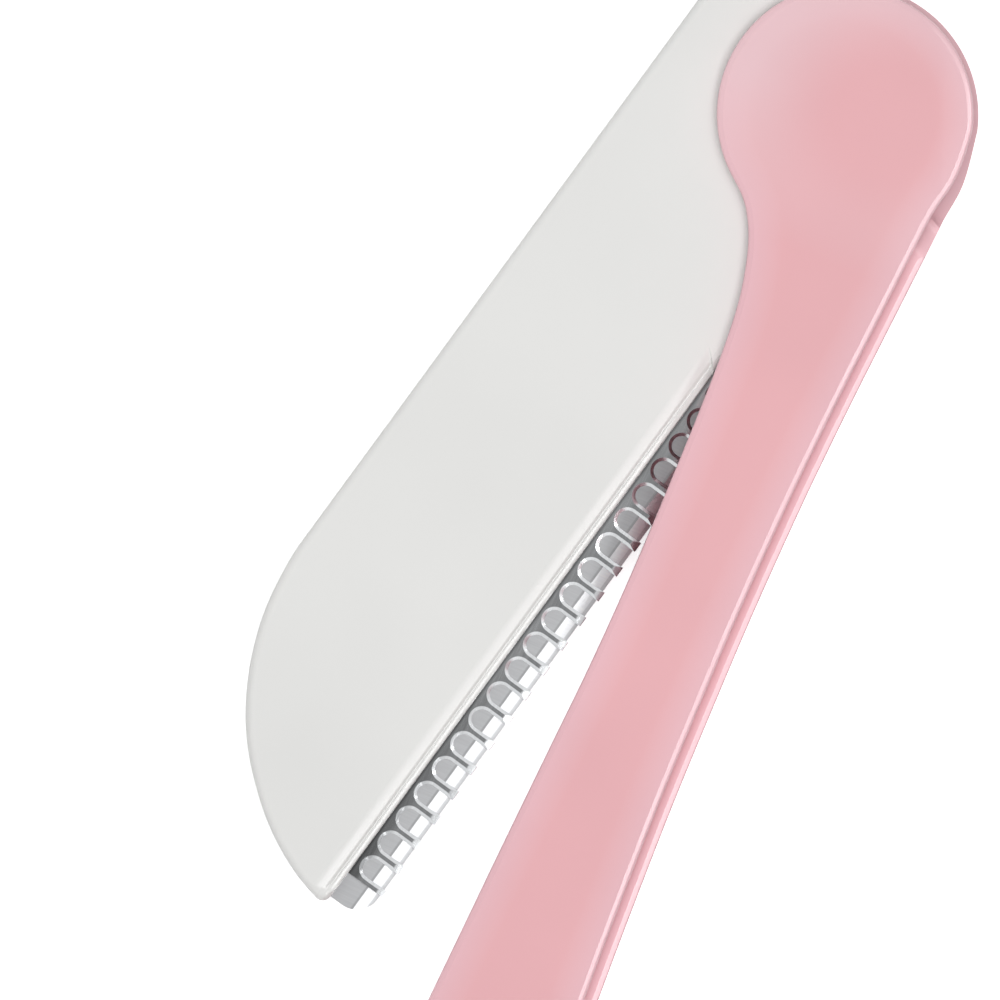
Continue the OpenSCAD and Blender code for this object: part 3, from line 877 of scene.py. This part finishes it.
class RAZOR_OT_rear_shell(bpy.types.Operator):
    """Model the rear shell with its channel, ledge and tail studs"""

    bl_idname = "razor.rear_shell"
    bl_label = "Rear shell"

    def execute(self, context):
        s, carrier, _, _, finish = settings_of(context)
        seam = seam_height(s, carrier)
        outline = handle_outlines(s)[0]
        edge = rounding(s.ledge_edge_r, 6, s.edge_tilt, s.ledge_slope_w)
        shell = prism(
            "rear_shell", outline, s.edge_r, seam - rise(edge), edge, rounding(s.edge_r),
        )
        # The channel: inside the walls, out through the mouth, and out at the head's back
        reach = 2 * s.handle_l
        inner = inset(outline, s.wall_t)
        channel = prism("channel", inner, s.rear_t, seam + OVER)
        combine(
            channel, block("keep", -reach, s.tail_wall_x, -reach, reach, 0, seam + 2 * OVER),
            "INTERSECT",
        )
        pocket = prism("pocket", inner, s.rear_t, seam + OVER)
        combine(
            pocket,
            block("keep", s.tail_wall_x + s.wall_t, reach, -reach, reach, 0, seam + 2 * OVER),
            "INTERSECT",
        )
        mouth = block(
            "mouth", -reach, s.tail_wall_x, -reach, s.waist_spine / 2, s.rear_t, seam + OVER
        )
        stop = HEEL_POLAR - SWING
        count = 10
        dips = [ease(i / count) for i in range(count + 1)]
        dip = [(s.dip_l / count, (b - a) * s.dip_h) for a, b in zip(dips, dips[1:])]
        x1 = STOP_GAP + s.dip_l
        side = [(-reach, -reach), (x1, -reach), (x1, reach), (-reach, reach)]
        turned = [Matrix.Rotation(radians(stop - 90), 2) @ Vector(p) for p in side]
        back = prism(
            "back", turned, seam, seam + OVER, (), dip + [(0, seam - s.dip_h - s.rear_t)]
        )
        cut(shell, channel, mouth, back, pocket)
        cut(shell, cylinder("socket", PIN_R + PRESS_GAP, 0, 0, s.rear_t - PIN_SOCKET, seam))
        for x, y in tail_studs(s):
            stud = cylinder(
                "stud", s.stud_r, x, y, s.rear_t / 2, seam + s.stud_h, TAIL_CHAMFER
            )
            combine(shell, stud, "UNION")
        paint_rim(shell, outline)
        finish_piece(
            shell, "handle", "handle_rear_shell", pink_plastic(finish), smooth=14
        )
        return {"FINISHED"}


class RAZOR_OT_front_shell(bpy.types.Operator):
    """Model the front shell with its rounded edge and low crown"""

    bl_idname = "razor.front_shell"
    bl_label = "Front shell"

    def execute(self, context):
        s, carrier, _, _, finish = settings_of(context)
        seam = seam_height(s, carrier)
        front = handle_outlines(s)[1]
        edge = rounding(s.front_edge_r, 7, s.edge_tilt, s.front_slope_w)
        count = 8
        rises = [sin(pi / 2 * i / count) for i in range(count + 1)]
        crown = [
            (s.crown_w / count, (b - a) * s.crown_h) for a, b in zip(rises, rises[1:])
        ]
        shell = prism(
            "front_shell", front, seam + s.seam_chamfer,
            seam + s.front_t - rise(edge + crown), edge + crown,
            ((s.seam_chamfer, s.seam_chamfer),),
        )
        cut(shell, cylinder("socket", PIN_R + PRESS_GAP, 0, 0, seam - OVER, seam + PIN_SOCKET))
        for x, y in tail_studs(s):
            cut(shell, cylinder(
                "socket", s.stud_r + PRESS_GAP, x, y, seam - OVER, seam + TAIL_SOCKET
            ))
        paint_rim(shell, front)
        finish_piece(
            shell, "handle", "handle_front_shell", pink_plastic(finish), smooth=12
        )
        return {"FINISHED"}


class RAZOR_OT_carrier(bpy.types.Operator):
    """Model the two halves of the blade carrier"""

    bl_idname = "razor.carrier"
    bl_label = "Carrier halves"

    def execute(self, context):
        handle, s, blade, guard, finish = settings_of(context)
        half_t = s.carrier_t / 2
        half = prism(
            "carrier_front", carrier_outline(s, blade), s.seam_chamfer, half_t - s.edge_r,
            rounding(s.edge_r), ((s.seam_chamfer, s.seam_chamfer),),
        )
        # The land along the lip, mitred at its root
        start, end = blade.blade_u - LAND_LEAD, s.carrier_l - LAND_TAIL
        far = 1 * MM
        land = prism("land", [Vector((v * MM, z * MM)) for v, z in LAND_SECTION], 0, far)
        for vertex in land.data.vertices:
            v, z, along = vertex.co
            root = start + (v - LAND_V) * ROOT_ACROSS + (LAND_Z - z) * ROOT_DOWN
            tip = end - TIP_DOWN * (LAND_Z - z)
            vertex.co = (tip if along > far / 2 else root, v, z)
        face_outwards(land)
        cut(half, land)
        hub = cylinder(
            "hub", (PIN_R + s.knuckle_r) / 2, 0, 0, half_t / 2, half_t + s.side_gap - s.hub_gap,
            HUB_CHAMFER,
        )
        combine(half, hub, "UNION")
        cut(half, cylinder("bore", PIN_R + RUNNING_GAP, 0, 0, -OVER, half_t + OVER))
        # The pocket for the blade and the guard
        sheet_half = blade.blade_t / 2 + guard.sheet_gap
        end_u = blade.blade_u + blade.blade_l
        plan = [
            (blade.blade_u, blade.edge_v - blade.blade_w),
            (end_u - blade.hidden_cut_l, blade.edge_v - blade.blade_w),
            (end_u, s.lip_v - CUT_DROP), (end_u, blade.edge_v), (blade.blade_u, blade.edge_v),
        ]
        pocket = inset([Vector(p) for p in plan], -guard.sheet_gap)
        fold = sheet_half + guard.guard_t + guard.sheet_gap
        root, tip = guard_span(blade, guard)
        cut(
            half, prism("pocket", pocket, -OVER, sheet_half),
            block("pocket", root, tip, s.lip_v - guard.guard_hold, blade.edge_v, -OVER, fold),
        )
        rear = twin(half, "carrier_rear")
        middle = middle_height(handle, s)
        for share in STUD_SHARES:
            u = blade.blade_u + share * blade.blade_l
            cut(half, cylinder("socket", blade.stud_r + PRESS_GAP, u, STUD_V, -OVER, STUD_SOCKET))
            stud = cylinder("stud", blade.stud_r, u, STUD_V, -half_t / 2, STUD_H, STUD_CHAMFER)
            combine(rear, stud, "UNION")
        for piece, node in ((half, "carrier_front_half"), (rear, "carrier_rear_half")):
            place(piece, -s.carrier_open, middle)
            finish_piece(piece, "carrier", node, white_plastic(finish, s))
        return {"FINISHED"}


def guard_span(blade, guard):
    """Where the guard starts and ends along the carrier."""
    end = blade.blade_u + blade.blade_l - guard.bare_l
    return end - guard.window_count * guard.bar_pitch - guard.bar_w, end


class RAZOR_OT_blade(bpy.types.Operator):
    """Model the ground blade with its rounded corner and its stud holes"""

    bl_idname = "razor.blade"
    bl_label = "Blade"

    def execute(self, context):
        handle, carrier, s, _, finish = settings_of(context)
        half_t = s.blade_t / 2
        back_v, bevel_v = s.edge_v - s.blade_w, s.edge_v - s.bevel_w
        honed_v = s.edge_v - s.honed_w
        side = [
            (back_v, half_t), (bevel_v, half_t), (honed_v, EDGE_Z + HONED_RISE),
            (s.edge_v, EDGE_Z),
        ]
        section = [Vector((v, -z)) for v, z in side] + [Vector(p) for p in side[::-1]]
        end_u = s.blade_u + s.blade_l
        strip = prism("blade", section, 0, s.blade_l)
        lay_along(strip, s.blade_u)
        r = s.corner_r
        plan = [
            Vector((s.blade_u - OVER, back_v - OVER)),
            Vector((end_u - s.hidden_cut_l, back_v - OVER)),
            Vector((end_u - s.hidden_cut_l, back_v)),
            Vector((end_u, carrier.lip_v - CUT_DROP)),
        ] + arc((end_u - r, s.edge_v - r), r, 0, 90, 5) + [
            Vector((end_u - r - OVER, s.edge_v + OVER)),
            Vector((s.blade_u - OVER, s.edge_v + OVER)),
        ]
        combine(strip, prism("plan", plan, -OVER, OVER), "INTERSECT")
        for share in STUD_SHARES:
            u = s.blade_u + share * s.blade_l
            cut(strip, cylinder("hole", s.stud_r + PRESS_GAP, u, STUD_V, -OVER, OVER))
        place(strip, -carrier.carrier_open, middle_height(handle, carrier))
        finish_piece(
            strip, "carrier", "blade", blade_steel(finish, carrier, s), smooth=3
        )
        return {"FINISHED"}


class RAZOR_OT_guard(bpy.types.Operator):
    """Model the folded guard with its row of rimmed windows"""

    bl_idname = "razor.guard"
    bl_label = "Guard"

    def execute(self, context):
        handle, carrier, blade, s, finish = settings_of(context)
        inner_h = blade.blade_t / 2 + s.sheet_gap
        outer_h = inner_h + s.guard_t
        root_v = carrier.lip_v - s.guard_hold
        # Each face of the sheet runs flat, slopes down and closes round the fold
        outer, inner = [
            [Vector((root_v, h))] + [Vector((s.nose_v + v * MM, z * h)) for v, z in steps]
            for steps, h in ((OUTSIDE, outer_h), (INSIDE, inner_h))
        ]
        section = (
            [Vector((v, -z)) for v, z in outer] + [Vector((s.nose_v, 0))] + outer[::-1]
            + inner + [Vector((v, -z)) for v, z in inner[::-1]]
        )
        start, end = guard_span(blade, s)
        sheet = prism("guard", section, start, end)
        lay_along(sheet)
        # One window cutter: wide at the sheet's face, narrow at the blade
        top_r = (s.bar_pitch - s.bar_w) / 2
        lap = 0.02 * MM
        rim = ((s.rim_w, s.rim_h), (0, outer_h - s.rim_h + lap))
        centre_v = carrier.lip_v + s.window_inset + top_r
        first = end - s.bar_w / 2 - s.bar_pitch / 2
        arch = arc((first, centre_v), top_r, 180, 360, 6)
        far = s.nose_v + 2 * OVER
        window = prism(
            "window", arch + [Vector((first + top_r, far)), Vector((first - top_r, far))],
            outer_h, outer_h + OVER, (), rim,
        )
        combine(window, twin(window, "other_side"), "UNION")
        for i in range(s.window_count):
            select_only(window)
            bpy.ops.object.duplicate(linked=False)
            bpy.ops.transform.translate(value=(-i * s.bar_pitch, 0, 0))
            bpy.ops.object.transform_apply(location=True, rotation=True, scale=True)
            cut(sheet, bpy.context.object)
        bpy.data.objects.remove(window)
        place(sheet, -carrier.carrier_open, middle_height(handle, carrier))
        finish_piece(
            sheet, "carrier", "blade_guard", guard_steel(finish, carrier), smooth=12
        )
        return {"FINISHED"}


class RAZOR_OT_pin(bpy.types.Operator):
    """Give the pivot pin its turned steel"""

    bl_idname = "razor.pin"
    bl_label = "Pivot pin"

    def execute(self, context):
        finish = context.scene.razor_finish
        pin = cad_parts["pivot_pin"]
        pin.data.materials.clear()
        pin.data.materials.append(pin_steel(finish))
        return {"FINISHED"}


class RAZOR_OT_stage(bpy.types.Operator):
    """Set up the floor, the light and the camera"""

    bl_idname = "razor.stage"
    bl_label = "Stage"

    def execute(self, context):
        scene = context.scene
        bpy.ops.object.select_all(action="DESELECT")
        bpy.ops.mesh.primitive_plane_add(size=3.0, location=(0, 0, 0))
        floor = context.object
        floor.name = "floor"
        # Matt white card, lifted to white where the camera sees it straight, in a
        # reflection or through the object, so that the object's shadow stays
        card = bpy.data.materials.new("White card")
        card.use_nodes = True
        tree = card.node_tree
        tree.nodes.clear()
        diffuse = add(tree, "ShaderNodeBsdfDiffuse", {"Color": rgba(srgb("#EDEDED"))})
        glow = add(tree, "ShaderNodeEmission", {"Color": (1, 1, 1, 1), "Strength": 0.65})
        both = add(tree, "ShaderNodeAddShader")
        tree.links.new(diffuse.outputs[0], both.inputs[0])
        tree.links.new(glow.outputs[0], both.inputs[1])
        rays = add(tree, "ShaderNodeLightPath")
        seen = add(
            tree, "ShaderNodeMath", {"operation": "ADD"},
            i0=rays.outputs["Is Camera Ray"], i1=rays.outputs["Is Glossy Ray"],
        )
        seen = add(
            tree, "ShaderNodeMath", {"operation": "ADD", "use_clamp": True},
            i0=seen.outputs[0], i1=rays.outputs["Is Transmission Ray"],
        )
        mix = add(tree, "ShaderNodeMixShader")
        tree.links.new(seen.outputs[0], mix.inputs[0])
        tree.links.new(diffuse.outputs[0], mix.inputs[1])
        tree.links.new(both.outputs[0], mix.inputs[2])
        output = add(tree, "ShaderNodeOutputMaterial")
        tree.links.new(mix.outputs[0], output.inputs[0])
        floor.data.materials.append(card)

        # Softly lit room: bright all round, darker straight overhead
        world = bpy.data.worlds.new("Softly lit room")
        scene.world = world
        world.use_nodes = True
        tree = world.node_tree
        tree.nodes.clear()
        ray = add(tree, "ShaderNodeTexCoord").outputs["Generated"]
        height = add(tree, "ShaderNodeSeparateXYZ", Vector=ray).outputs["Z"]
        # Brightness of the room's sides and zenith in reflections, and as a light that fills
        # in, and the angles off the zenith where it starts to dim and is dimmest
        sides, zenith, fill = 1.0, 0.3, 0.22
        dims, dimmest = radians(28), radians(11)
        room = add(
            tree, "ShaderNodeMapRange",
            {"interpolation_type": "SMOOTHSTEP", "From Min": cos(dims), "From Max": cos(dimmest),
             "To Min": sides, "To Max": zenith},
            Value=height,
        )
        rays = add(tree, "ShaderNodeLightPath")
        mirrored = add(
            tree, "ShaderNodeMix", {"data_type": "FLOAT", 2: fill},
            i0=rays.outputs["Is Glossy Ray"], i3=room.outputs[0],
        )
        level = add(
            tree, "ShaderNodeMix", {"data_type": "FLOAT", 3: 1.0},
            i0=rays.outputs["Is Camera Ray"], i2=mirrored.outputs[0],
        )
        back = add(
            tree, "ShaderNodeBackground", {"Color": (1, 1, 1, 1)}, Strength=level.outputs[0]
        )
        output = add(tree, "ShaderNodeOutputWorld")
        tree.links.new(back.outputs[0], output.inputs[0])

        def lamp(name, azimuth, off_zenith, distance, size, radiance, glossy=True):
            """A lamp that faces the razor, with how bright its face is."""
            aim = -Vector((
                sin(off_zenith) * cos(azimuth), sin(off_zenith) * sin(azimuth), cos(off_zenith)
            ))
            target = Vector((20 * MM, 0, 0))
            bpy.ops.object.light_add(type="AREA", location=target - distance * aim)
            light = context.object
            light.name = name
            light.data.shape = "RECTANGLE"
            light.data.size, light.data.size_y = size
            light.data.energy = radiance * pi * size[0] * size[1]
            light.rotation_euler = aim.to_track_quat("-Z", "Y").to_euler()
            light.visible_glossy = glossy
            light.visible_diffuse = not glossy

        # The soft lamp overhead is flagged off from the gloss, which keeps the zenith dark,
        # and the strips that draw the highlights are flagged off from the rest
        lamp("overhead", 0, 0, 0.7, (0.44, 0.44), 6.5, False)
        lamp("strip light", radians(90), radians(36), 0.5, (0.55, 0.085), 8.0)
        lamp("end strip light", radians(146), radians(34), 0.5, (0.13, 0.06), 5.0)

        # Camera straight above, with the handle slanting down to the left
        centre = Vector((30.77 * MM, -10.22 * MM, 3 * MM))
        turn = radians(66.3)
        right = Vector((-cos(turn), sin(turn), 0))
        up = Vector((-sin(turn), -cos(turn), 0))
        lens, sensor, width = 1500.0, 36.0, 62.5 * MM
        bpy.ops.object.camera_add()
        camera = context.object
        camera.name = "camera"
        camera.data.lens = lens
        camera.data.sensor_width = sensor
        camera.data.clip_start = 0.01
        camera.data.clip_end = 10
        matrix = Matrix.Identity(4)
        matrix.col[0][:3] = right
        matrix.col[1][:3] = up
        matrix.col[2][:3] = (0, 0, 1)
        matrix.col[3][:3] = centre + Vector((0, 0, width * lens / sensor))
        camera.matrix_world = matrix
        scene.camera = camera
        scene.view_settings.view_transform = "Standard"
        return {"FINISHED"}


class RAZOR_PT_panel(bpy.types.Panel):
    """Lists the razor's pieces and sizes"""

    bl_idname = "RAZOR_PT_panel"
    bl_label = "Eyebrow razor"
    bl_space_type = "VIEW_3D"
    bl_region_type = "UI"
    bl_category = "Eyebrow razor"

    def draw(self, context):
        for operator in OPERATORS:
            self.layout.operator(operator.bl_idname)
        for group in settings_of(context):
            box = self.layout.box()
            for name in group.bl_rna.properties.keys():
                if name not in ("rna_type", "name"):
                    box.prop(group, name)


GROUPS = {
    "razor_handle": HandleSettings,
    "razor_carrier": CarrierSettings,
    "razor_blade": BladeSettings,
    "razor_guard": GuardSettings,
    "razor_finish": FinishSettings,
}
OPERATORS = (
    RAZOR_OT_rear_shell, RAZOR_OT_front_shell, RAZOR_OT_carrier, RAZOR_OT_blade,
    RAZOR_OT_guard, RAZOR_OT_pin, RAZOR_OT_stage,
)


def register():
    for group in GROUPS.values():
        bpy.utils.register_class(group)
    for name, group in GROUPS.items():
        setattr(bpy.types.Scene, name, PointerProperty(type=group))
    for cls in (*OPERATORS, RAZOR_PT_panel):
        bpy.utils.register_class(cls)


def unregister():
    for cls in (RAZOR_PT_panel, *reversed(OPERATORS)):
        bpy.utils.unregister_class(cls)
    for name in GROUPS:
        delattr(bpy.types.Scene, name)
    for group in reversed(list(GROUPS.values())):
        bpy.utils.unregister_class(group)


def main():
    register()
    bpy.ops.razor.rear_shell()
    bpy.ops.razor.front_shell()
    bpy.ops.razor.carrier()
    bpy.ops.razor.blade()
    bpy.ops.razor.guard()
    bpy.ops.razor.pin()
    bpy.ops.razor.stage()
    bpy.context.view_layer.update()


if __name__ == "__main__":
    main()
